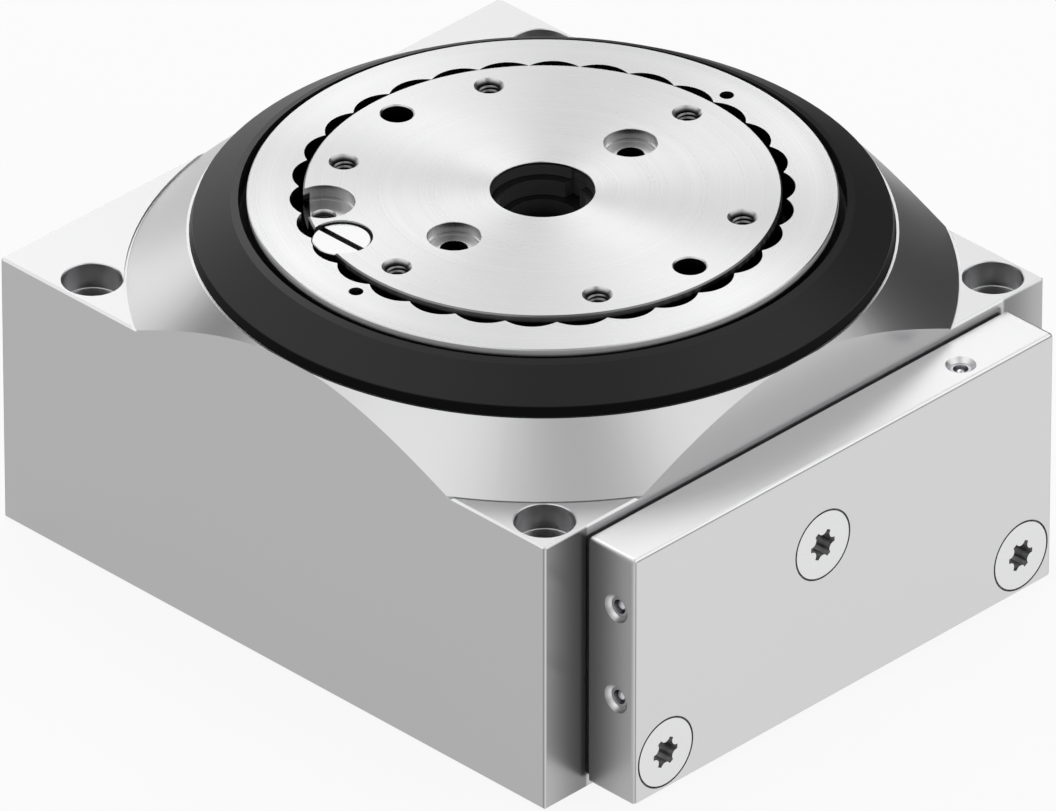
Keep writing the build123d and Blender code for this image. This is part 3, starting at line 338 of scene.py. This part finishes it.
def in_plate(s):
    x, y, z = s.split(s.spot())
    radius = s.length(s.spoke())
    depth = s.less(TABLE_TOP, z)
    pocket_x = s.less(x, POCKET_FLOOR.x)
    pocket_y = s.less(y, POCKET_FLOOR.y)
    pocket_hole = s.product(s.below(s.hypotenuse(pocket_x, pocket_y), POCKET_HOLE_REACH),
                            s.step(depth, *POCKET_HOLE_FADE))
    inside = s.below(radius, PLATE_INSIDE)
    bore = s.product(inside, s.step(depth, *BORE_FADE))
    rim = s.product(s.opposite(inside), s.step(s.less(NUT_TOP, z), *RIM_FADE))
    dark = s.largest(down_threads(s, x, y, depth), down_dowels(s, x, y, depth), pocket_hole, bore, rim)
    chamfer = s.product(s.step(radius, *CHAMFER_RADII),
                        s.step(s.less(CHAMFER_DEPTH, depth), 0.0, CHAMFER_SOFT))
    beside = s.product(s.less(s.size(y), THROUGH_OFFSET), s.math("SIGN", y))
    return s.product(
        s.spread(dark, 1.0, PLATE_DARK),
        s.spread(chamfer, 1.0, CHAMFER_DARK),
        in_hole(s, x, beside, THROUGH_WALL, depth, THROUGH_END),
        in_hole(s, pocket_x, pocket_y, POCKET_WALL, depth, POCKET_END),
    )


# Painted shade that grows with depth on the thread ridges, the lock screw's slot, the guard ring's skirt and
# the cover screws' recesses
RIDGE_FADE = (0.8 * MM, 3.4 * MM)
RIDGE_LIGHT = 0.62
RIDGE_DARK = 0.10
SLOT_FADE = (0.15 * MM, 0.4 * MM)
SLOT_DARK = 0.22
SKIRT_FADE = (-0.02 * MM, 0.25 * MM)
SKIRT_DARK = 0.22
RECESS_FADE = (0.25 * MM, 1.6 * MM)
RECESS_DARK = 0.50


def in_threads(s):
    depth = s.depth(TABLE_TOP)
    return s.spread(s.step(depth, *RIDGE_FADE), RIDGE_LIGHT, RIDGE_DARK)


def in_lock_slot(s):
    depth = s.depth(TABLE_TOP - LOCK_DROP)
    return s.spread(s.step(depth, *SLOT_FADE), 1.0, SLOT_DARK)


def in_skirt(s):
    depth = s.depth(SKIRT_TOP)
    return s.spread(s.step(depth, *SKIRT_FADE), 1.0, SKIRT_DARK)


def in_cover_screws(s):
    depth = s.less(SCREW_FACE, s.split(s.spot())[0])
    return s.spread(s.step(depth, *RECESS_FADE), 1.0, RECESS_DARK)


# Centre sleeve: painted shade on its flat ledges and deep down the bore
LEDGE_HALF = 0.04 * MM
SLEEVE_FADE = (LEDGE_DEPTH + 0.2 * MM, LEDGE_DEPTH + 4.0 * MM)
SLEEVE_DARK = 0.10


def in_sleeve(s):
    depth = s.depth(TABLE_TOP)
    mouth = s.below(s.size(s.less(depth, MOUTH_DEPTH)), LEDGE_HALF)
    ledge = s.below(s.size(s.less(depth, LEDGE_DEPTH)), LEDGE_HALF)
    return s.spread(s.largest(mouth, ledge, s.step(depth, *SLEEVE_FADE)), 1.0, SLEEVE_DARK)


# Nut: painted shade between its scallops and the plate, and matt on its outer wall. Its middle lies between
# the two.
NUT_MIDDLE = 43.0 * MM
SCALLOP_FADE = (0.05 * MM, 2.4 * MM)
SCALLOP_DARK = 0.02
NUT_EDGE = 0.16 * MM
NUT_WALL_FADE = (0.7 * MM, 1.3 * MM)


def in_nut(s):
    radius = s.length(s.spoke())
    depth = s.depth(NUT_TOP)
    inside = s.below(radius, NUT_MIDDLE)
    return s.spread(s.product(inside, s.step(depth, *SCALLOP_FADE)), 1.0, SCALLOP_DARK)


def nut_wall(s):
    """1 on the nut's outer wall, just below its face: too near the black ring to show as polished metal."""
    radius = s.length(s.spoke())
    depth = s.depth(NUT_TOP)
    wall = s.product(s.above(radius, NUT_MIDDLE), s.above(depth, NUT_EDGE))
    return s.product(wall, s.opposite(s.step(depth, *NUT_WALL_FADE)))


# Narrow corner between housing and cover: how much light is lost at the joint and at the end of its reach
JOINT_REACH = 9.0 * MM
JOINT_ON_HOUSING = (COVER_BACK - 1.0 * MM, COVER_BACK - 0.3 * MM)
JOINT_ON_COVER = (COVER_BACK - 0.3 * MM, COVER_BACK + 0.1 * MM)
JOINT_BESIDE = (COVER_SIDE - 0.6 * MM, COVER_SIDE - 0.05 * MM)
HOUSING_LOSS = (0.66, 0.18)
COVER_LOSS = (0.62, 0.36)


def in_joint(s, x, y):
    """The two walls of the narrow corner between housing and cover, darkest at the joint."""
    wall = s.step(x, *JOINT_ON_HOUSING)
    on_cover = s.step(x, *JOINT_ON_COVER)
    beside = s.step(s.size(y), *JOINT_BESIDE)
    away = s.less(s.size(y), COVER_SIDE)
    out = s.less(x, COVER_BACK)
    housing_dark = s.spread(s.step(away, 0.0, JOINT_REACH), *HOUSING_LOSS)
    cover_dark = s.spread(s.step(out, 0.0, JOINT_REACH), *COVER_LOSS)
    dark = s.mix(on_cover, s.product(wall, housing_dark), cover_dark)
    return s.opposite(s.product(dark, beside))


# End cover's front edge: a painted dark line along the face, and a painted highlight behind it
COVER_EDGE = EDGE * 1.35
COVER_LINE = EDGE * 0.42
COVER_BRIGHT_END = EDGE * 1.1
COVER_LINE_DARK = 0.52
COVER_EDGE_BRIGHT = 1.2


def in_cover(s):
    x, y, z = s.split(s.spot())
    out_y = s.less(COVER_SIDE, s.size(y))
    out_z = s.less(COVER_TOP, z)
    at_edge = s.below(s.math("MINIMUM", out_y, out_z), COVER_EDGE)
    depth = s.less(COVER_FACE, x)
    line = s.product(at_edge, s.below(depth, COVER_LINE))
    bright = s.product(at_edge, s.within(depth, COVER_LINE, COVER_BRIGHT_END))
    return s.product(
        in_joint(s, x, y),
        s.spread(line, 1.0, COVER_LINE_DARK),
        s.spread(bright, 1.0, COVER_EDGE_BRIGHT),
    )


# Housing: painted shade and highlights in the corner holes, painted shade in the corner beside the cover, and
# painted highlights and a dark line on the block's broken edges
BOLT_REACH = 3.2 * MM
BOLT_FADE = (8.1 * MM, 9.0 * MM)
BOLT_DARK = 0.05
SEAT_WALL = (4.4 * MM, 4.9 * MM)
SEAT_RADIUS = 4.8 * MM
SEAT_DEPTH = 4.35 * MM
SEAT_BRIGHT = 1.4
DECK_FADE = (0.02 * MM, 0.3 * MM)
BLOCK_EDGE_BRIGHT = 1.3
CORNER_LINE = (EDGE * 0.62, EDGE * 1.35)
CORNER_LINE_HALF = EDGE * 0.5
CORNER_LINE_DARK = 0.5


def in_edges(s, x, y, depth):
    """Broken edges: painted highlights along the deck and down the corners, with a painted dark line beside
    the corner.
    """
    out_x = s.math("MINIMUM", s.less(SIDE, x), s.less(x, TAIL))
    out_y = s.less(SIDE, s.size(y))
    at_side = s.below(s.math("MINIMUM", out_x, out_y), EDGE)
    past_foot = s.above(s.hypotenuse(x, y), FOOT_RADIUS)
    at_deck = s.product(at_side, past_foot, s.below(s.size(depth), EDGE))
    upright = s.below(s.math("MAXIMUM", out_x, out_y), EDGE)
    line = s.product(s.within(out_x, *CORNER_LINE), s.below(out_y, CORNER_LINE_HALF))
    return s.product(
        s.spread(s.largest(at_deck, upright), 1.0, BLOCK_EDGE_BRIGHT),
        s.spread(line, 1.0, CORNER_LINE_DARK),
    )


def in_housing(s):
    x, y, z = s.split(s.spot())
    depth = s.less(DECK, z)
    across = s.less(s.size(x), CORNER)
    along = s.less(s.size(y), CORNER)
    away = s.hypotenuse(across, along)
    bolt = s.product(s.below(away, BOLT_REACH), s.step(depth, *BOLT_FADE))
    seat = s.product(s.below(away, SEAT_RADIUS), s.above(depth, SEAT_DEPTH))
    side_x = s.product(across, s.math("SIGN", x))
    side_y = s.product(along, s.math("SIGN", y))
    return s.product(
        s.mix(s.step(depth, *DECK_FADE), 1.0, in_joint(s, x, y)),
        in_hole(s, side_x, side_y, SEAT_WALL, depth, SEAT_DEPTH),
        s.spread(seat, 1.0, SEAT_BRIGHT),
        s.spread(bolt, 1.0, BOLT_DARK),
        in_edges(s, x, y, depth),
    )


# Surfaces: noise scales are per metre, and a tone is a share of the surface's own colour
MILLED_SCALE = 5200
CLOUD_SCALE = 60
MILLED_TONES = (0.985, 1.01)
FINE_SHARE = 0.65
TURNED_PITCH = 0.34 * MM
TURNED_BAND = TURNED_PITCH * 9
DRIFT_SCALE = 90
TURNED_TONES = (0.80, 1.12)
LINE_SHARE = 0.6
CUT_SHARE = 0.8
TURNED_ROUGH = (0.23, 0.34)
TURNED_RELIEF = 0.25
TURNED_ANISOTROPY = 0.83
TOOL_MARK_DEPTH = 0.02 * MM
GRAIN_DEPTH = 0.03 * MM
GRAIN_UNEVEN = 0.05


def milled(name, colour, rough, relief=0.35, uneven=0.045, lit=in_open):
    """Fine-milled, clear anodised aluminium."""
    material, s = surface(name)
    fine = s.noise(s.spot(), MILLED_SCALE, detail=2)
    cloud = s.noise(s.spot(), CLOUD_SCALE, detail=3)
    s.close(s.add("ShaderNodeBsdfPrincipled", {
        "Base Color": s.paint(s.weigh(fine, FINE_SHARE, cloud), colour, *MILLED_TONES, lit(s)),
        "Metallic": 1.0,
        "Roughness": s.spread(fine, rough - uneven, rough + uneven),
        "Normal": s.bump(fine, relief, TOOL_MARK_DEPTH),
    }))
    return material


def turned(name, colour, lit=in_open, matt=None):
    """Metal with the fine concentric lines of a facing cut, and the spoke as its tangent."""
    material, s = surface(name)
    spoke = s.spoke()
    radius = s.length(spoke)
    way = s.add("ShaderNodeVectorTransform", {"Vector": s.vector("NORMALIZE", spoke)},
                vector_type="VECTOR", convert_from="OBJECT", convert_to="WORLD")
    lines = s.noise(s.math("DIVIDE", radius, TURNED_PITCH), 1.0, detail=3, roughness=0.7, dimensions="1D")
    bands = s.noise(s.math("DIVIDE", radius, TURNED_BAND), 1.0, detail=1, dimensions="1D")
    cut = s.weigh(lines, LINE_SHARE, bands)
    drift = s.noise(spoke, DRIFT_SCALE, detail=1)
    s.close(s.add("ShaderNodeBsdfPrincipled", {
        "Base Color": s.paint(s.weigh(cut, CUT_SHARE, drift), colour, *TURNED_TONES, lit(s)),
        "Metallic": s.opposite(matt(s)) if matt else 1.0,
        "Roughness": s.spread(cut, *TURNED_ROUGH),
        "Anisotropic": TURNED_ANISOTROPY,
        "Tangent": way.outputs[0],
        "Normal": s.bump(cut, TURNED_RELIEF, TOOL_MARK_DEPTH),
    }))
    return material


def plain(name, colour, rough, metallic=0.0, grain=900, relief=0.2, vary=0.08, gloss=0.5, lit=in_open):
    """Moulded, ground or coated surface with a small grain."""
    material, s = surface(name)
    fine = s.noise(s.spot(), grain, detail=3)
    # lit gives the painted shade, which darkens the colour and the gloss together
    share = lit(s)
    s.close(s.add("ShaderNodeBsdfPrincipled", {
        "Base Color": s.paint(fine, colour, 1 - vary, 1 + vary, share),
        "Metallic": metallic,
        "Roughness": s.spread(fine, rough - GRAIN_UNEVEN, rough + GRAIN_UNEVEN),
        "Specular IOR Level": gloss if lit is in_open else s.product(share, gloss),
        "Normal": s.bump(fine, relief, GRAIN_DEPTH),
    }))
    return material


def metal(name, colour, rough, grain=1500, relief=0.05, vary=0.03, lit=in_open):
    """Bare ground or plated metal."""
    return plain(name, colour, rough, metallic=1.0, grain=grain, relief=relief, vary=vary, lit=lit)


STEEL = (0.555, 0.555, 0.56)
ZINC = (0.78, 0.782, 0.785)
BLACK = (0.012, 0.012, 0.013)
BLACK_COAT = {"rough": 0.40, "grain": 2600, "relief": 0.10, "gloss": 0.20}

# Finish of each material slot in the record, with painted shade and highlights on the housing and the cover
SLOT_FINISHES_AND_PAINTED_LIGHT = {
    "housing_aluminium": (milled, {
        "colour": STEEL, "rough": 0.285, "relief": 0.0, "uneven": 0.008, "lit": in_housing,
    }),
    "cover_aluminium": (milled, {"colour": (0.685, 0.685, 0.69), "rough": 0.36, "lit": in_cover}),
    "black_aluminium": (plain, {"colour": BLACK, **BLACK_COAT}),
    "turned_steel": (turned, {"colour": STEEL}),
    "bright_screw": (metal, {"colour": (0.80, 0.80, 0.805), "rough": 0.24, "vary": 0.02}),
    "zinc_steel": (metal, {"colour": ZINC, "rough": 0.30, "grain": 1800, "relief": 0.08}),
    "dark_screw": (plain, {"colour": (0.05, 0.05, 0.052), "rough": 0.38, "metallic": 0.6, "grain": 1200}),
    "ground_steel": (metal, {"colour": (0.58, 0.58, 0.60), "rough": 0.22, "grain": 1800}),
    "gear_steel": (metal, {
        "colour": (0.34, 0.345, 0.36), "rough": 0.36, "grain": 1200, "relief": 0.1, "vary": 0.06,
    }),
    "plug_steel": (metal, {"colour": (0.42, 0.42, 0.44), "rough": 0.30, "relief": 0.08, "vary": 0.05}),
    "bronze": (metal, {
        "colour": (0.60, 0.40, 0.18), "rough": 0.35, "grain": 1400, "relief": 0.1, "vary": 0.08,
    }),
    "seal_rubber": (plain, {"colour": BLACK, "rough": 0.62, "grain": 1500, "relief": 0.3, "gloss": 0.3}),
    "guide_plastic": (plain, {"colour": (0.62, 0.52, 0.34), "rough": 0.5, "grain": 1200}),
    "pad_plastic": (plain, {"colour": (0.62, 0.22, 0.05), "rough": 0.5, "grain": 1200}),
    "gasket": (plain, {"colour": (0.02, 0.02, 0.021), "rough": 0.7, "grain": 1600, "relief": 0.3}),
    "spring_steel": (metal, {"colour": (0.33, 0.33, 0.36), "rough": 0.3, "relief": 0.06, "vary": 0.05}),
}

# Finish of single nodes, with painted shade and highlights or matt at places of their own
NODE_FINISHES_AND_PAINTED_LIGHT = {
    "table_plate": (turned, {"colour": STEEL, "lit": in_plate}),
    "lock_screw": (metal, {"colour": (0.60, 0.60, 0.605), "rough": 0.26, "vary": 0.02, "lit": in_lock_slot}),
    "centre_sleeve": (plain, {
        "colour": (0.045, 0.045, 0.047), "rough": 0.30, "grain": 2600, "relief": 0.08, "gloss": 1.0,
        "lit": in_sleeve,
    }),
    "guard_ring": (plain, {"colour": BLACK, **BLACK_COAT, "lit": in_skirt}),
    "preload_ring": (turned, {"colour": (0.575, 0.575, 0.58), "lit": in_nut, "matt": nut_wall}),
    "end_cover_screws": (metal, {
        "colour": ZINC, "rough": 0.30, "grain": 1800, "relief": 0.08, "lit": in_cover_screws,
    }),
}


def make_materials(recipes, ending=""):
    return {name: maker(name + ending, **looks) for name, (maker, looks) in recipes.items()}


def paint_nodes(by_slot, by_node):
    for part in frame["record"]["subparts"]:
        mesh = nodes[part["node"]].data
        mesh.materials.clear()
        mesh.materials.append(by_node.get(part["node"]) or by_slot[part["material_slot"]])


# Threads: a ridge wound down the wall of each tapped hole, from depth start to depth end
RIDGE_STEPS = 32
RIDGE_HALF = 0.40
CREST_HALF = 0.15
ROOT_DEPTH = 0.02 * MM
RUN_OUT_TURNS = 0.5
PAYLOAD_THREAD = {
    "radius": 1.65 * MM, "pitch": 0.7 * MM, "start": 0.95 * MM, "end": 5.5 * MM, "height": 0.24 * MM,
}
POCKET_THREAD = {
    "radius": 1.25 * MM, "pitch": 0.5 * MM, "start": 0.80 * MM, "end": 4.2 * MM, "height": 0.18 * MM,
}
PORT_THREAD = {
    "radius": 4.3 * MM, "pitch": 0.907 * MM, "start": 1.0 * MM, "end": 8.0 * MM, "height": 0.35 * MM,
}
LOCK_THREAD = {
    "radius": 2.1 * MM, "pitch": 0.8 * MM, "start": 0.9 * MM, "end": 6.2 * MM, "height": 0.3 * MM,
}


def wind_ridge(mesh, place, radius, pitch, start, end, height):
    """Ridge for a hole whose mouth is at place and goes down its own Z. It rises and runs out at its ends."""
    steps = int((end - start) / pitch * RIDGE_STEPS)
    half = RIDGE_HALF * pitch
    root = radius + ROOT_DEPTH
    rings = []
    for step in range(steps + 1):
        angle = 2 * math.pi * step / RIDGE_STEPS
        depth = start + pitch * step / RIDGE_STEPS
        rise = step / RIDGE_STEPS / RUN_OUT_TURNS
        fall = (steps - step) / RIDGE_STEPS / RUN_OUT_TURNS
        crest = radius - height * min(1.0, rise, fall)
        section = ((root, -half), (crest, -half * CREST_HALF), (crest, half * CREST_HALF), (root, half))
        ring = []
        for wall, shift in section:
            spot = Vector((wall * math.cos(angle), wall * math.sin(angle), -depth - shift))
            ring.append(mesh.verts.new(place @ spot))
        rings.append(ring)
    for first, second in zip(rings, rings[1:]):
        for side in range(4):
            after = (side + 1) % 4
            mesh.faces.new((first[side], second[side], second[after], first[after]))
    mesh.faces.new(rings[0])
    mesh.faces.new(reversed(rings[-1]))


def add_ridges(name, body, material, ridges):
    """One piece for the threads of one body: each ridge is a place and a thread."""
    mesh = bmesh.new()
    for place, thread in ridges:
        wind_ridge(mesh, place, **thread)
    bmesh.ops.recalc_face_normals(mesh, faces=mesh.faces)
    data = bpy.data.meshes.new(name)
    mesh.to_mesh(data)
    mesh.free()
    data.materials.append(material)
    piece = bpy.data.objects.new(name, data)
    scene.collection.objects.link(piece)
    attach(piece, body)


def add_payload_ridges():
    ridges = []
    for index in range(PAYLOAD_THREADS):
        angle = PAYLOAD_TURN * (index + 0.5)
        mouth = Vector((PAYLOAD_RADIUS * math.cos(angle), PAYLOAD_RADIUS * math.sin(angle), TABLE_TOP))
        ridges.append((Matrix.Translation(mouth), PAYLOAD_THREAD))
    ridges.append((Matrix.Translation(POCKET_FLOOR), POCKET_THREAD))
    steel = metal("thread_steel", (0.34, 0.34, 0.35), 0.30, grain=1800, lit=in_threads)
    add_ridges("payload_thread_ridges", "table", steel, ridges)


def add_port_ridges(material):
    inward = Matrix.Rotation(math.radians(-90), 4, "Y")
    ridges = []
    for side in (-1, 1):
        mouth = Vector((TAIL, side * PORT_OFFSET, PORT_HEIGHT))
        ridges.append((Matrix.Translation(mouth) @ inward, PORT_THREAD))
    ridges.append((Matrix.Translation(LOCK_PORT) @ inward, LOCK_THREAD))
    add_ridges("port_thread_ridges", "base", material, ridges)


# Studio: a bright room with a broad glow and two softboxes behind, a grey strip overhead, a black card at the
# back right, and a glow and a dark card at the left. The polished faces mirror these directions.
BEHIND = Vector((-0.596, 0.601, 0.533)).normalized()
ACROSS = Vector((0.710, 0.704, 0.0)).normalized()
OVER = BEHIND.cross(ACROSS) * -1.0
RIGHT_BOX = (BEHIND + ACROSS * 0.178 + OVER * 0.208).normalized()
LEFT_BOX = (BEHIND - ACROSS * 0.290 + OVER * 0.138).normalized()
STRIP_SIDE = (ACROSS - OVER * 0.12).normalized()
BLACK_CARD = Vector((-0.207, 0.957, 0.202)).normalized()
LEFT_GLOW = Vector((-0.985, 0.120, 0.080)).normalized()
LEFT_CARD = Vector((-0.860, -0.300, 0.410)).normalized()

# Level of the room low down and overhead, and how far up a direction points where it changes
ROOM_LEVELS = (0.79, 1.42)
ROOM_RISE = (0.35, 0.75)

# Each glow, softbox or card: middle, degrees from it where it is full and where it ends, and level
SOFTBOXES = (
    (BEHIND, 10, 30.5, 1.59),
    (RIGHT_BOX, 4.2, 12.6, 2.85),
    (LEFT_BOX, 5.2, 15.9, 3.60),
)
CARDS = (
    (BLACK_CARD, 31, 34, 0.05),
    (LEFT_GLOW, 4, 20, 1.45),
    (LEFT_CARD, 3, 15, 0.10),
)
STRIP_SIDES = (0.05, 0.40)
STRIP_START = (0.216, 0.376)
STRIP_LEVEL = 0.578

# Level that lights matt surfaces, whatever the direction
DIFFUSE_LEVEL = 0.62

# Floor paper, with painted shade seen only in reflections: greyer at the left of the front corner, and black
# far off below the black card
FLOOR_SIZE = 8
FLOOR_DROP = 0.05 * MM
PAPER = (0.9, 0.9, 0.9, 1)
PAPER_GLOW = 0.88
GREY_WAY = Vector((-0.92, -0.39, 0)).normalized()
GREY_RISE = (0.15, 0.62)
GREY_LEVEL = 0.80
CARD_WAY = Vector((BLACK_CARD.x - 0.1, BLACK_CARD.y, 0)).normalized()
CARD_RISE = (0.80, 0.97)
CARD_START = (160 * MM, 260 * MM)
CARD_LEVEL = 0.05


def lobe(s, way, middle, inner, outer):
    """1 within inner degrees of a direction and 0 beyond outer degrees."""
    return s.step(s.dot(way, middle), math.cos(math.radians(outer)), math.cos(math.radians(inner)))


def make_world():
    world = bpy.data.worlds.new("studio")
    world.use_nodes = True
    scene.world = world
    s = Shader(world.node_tree)
    way = s.vector("NORMALIZE", s.add("ShaderNodeTexCoord").outputs["Generated"])
    level = s.mix(s.step(s.split(way)[2], *ROOM_RISE), *ROOM_LEVELS)
    for middle, inner, outer, strength in SOFTBOXES:
        level = s.mix(lobe(s, way, middle, inner, outer), level, strength)
    aside = s.size(s.dot(way, STRIP_SIDE))
    strip = s.product(s.opposite(s.step(aside, *STRIP_SIDES)), s.step(s.dot(way, OVER), *STRIP_START))
    level = s.mix(strip, level, STRIP_LEVEL)
    for middle, inner, outer, strength in CARDS:
        level = s.mix(lobe(s, way, middle, inner, outer), level, strength)
    path = s.add("ShaderNodeLightPath")
    level = s.mix(path.outputs["Is Diffuse Ray"], level, DIFFUSE_LEVEL)
    level = s.mix(path.outputs["Is Camera Ray"], level, 1.0)
    back = s.add("ShaderNodeBackground", {"Color": (1, 1, 1, 1), "Strength": level})
    out = s.add("ShaderNodeOutputWorld")
    s.tree.links.new(back.outputs[0], out.inputs["Surface"])


def make_floor():
    bpy.ops.mesh.primitive_plane_add(size=FLOOR_SIZE, location=(0, 0, -FLOOR_DROP))
    floor = bpy.context.object
    floor.name = "floor"
    material, s = surface("floor_paper")
    path = s.add("ShaderNodeLightPath")
    glossy = path.outputs["Is Glossy Ray"]
    seen = s.math("ADD", path.outputs["Is Camera Ray"], glossy)
    seen = s.math("ADD", seen, path.outputs["Is Transmission Ray"], clamp=True)
    from_corner = s.vector("NORMALIZE", s.vector("SUBTRACT", s.spot(), (SIDE, -SIDE, 0)))
    grey = s.step(s.dot(from_corner, GREY_WAY), *GREY_RISE)
    level = s.mix(s.product(grey, glossy), 1.0, GREY_LEVEL)
    spoke = s.spoke()
    towards_card = s.step(s.dot(s.vector("NORMALIZE", spoke), CARD_WAY), *CARD_RISE)
    far = s.product(towards_card, s.step(s.length(spoke), *CARD_START))
    level = s.mix(s.product(far, glossy), level, CARD_LEVEL)
    paper = s.add("ShaderNodeBsdfDiffuse", {"Color": PAPER})
    glow = s.add("ShaderNodeEmission", {"Color": (1, 1, 1, 1), "Strength": level})
    mixed = s.add("ShaderNodeMixShader", {"Fac": s.product(seen, PAPER_GLOW)})
    s.tree.links.new(paper.outputs[0], mixed.inputs[1])
    s.tree.links.new(glow.outputs[0], mixed.inputs[2])
    s.close(mixed)
    floor.data.materials.append(material)


def make_light(name, place, target, size, energy):
    """Disk lamp that metal doesn't mirror."""
    data = bpy.data.lights.new(name, "AREA")
    data.shape = "DISK"
    data.size = size
    data.energy = energy
    light = bpy.data.objects.new(name, data)
    light.location = place
    light.rotation_mode = "QUATERNION"
    light.rotation_quaternion = (Vector(target) - Vector(place)).to_track_quat("-Z", "Y")
    light.visible_glossy = False
    scene.collection.objects.link(light)


make_camera()
make_world()
make_floor()
make_light("top_light", place=(-0.5, 0.5, 1.5), target=(0, 0, 0.05), size=0.9, energy=4)
make_light("right_light", place=(1.5, 0.4, 0.8), target=(0, 0, 0.03), size=0.8, energy=2)
scene.view_settings.view_transform = "Standard"
slot_materials = make_materials(SLOT_FINISHES_AND_PAINTED_LIGHT)
node_materials = make_materials(NODE_FINISHES_AND_PAINTED_LIGHT, ending="_finish")
paint_nodes(slot_materials, node_materials)
add_payload_ridges()
add_port_ridges(slot_materials["housing_aluminium"])
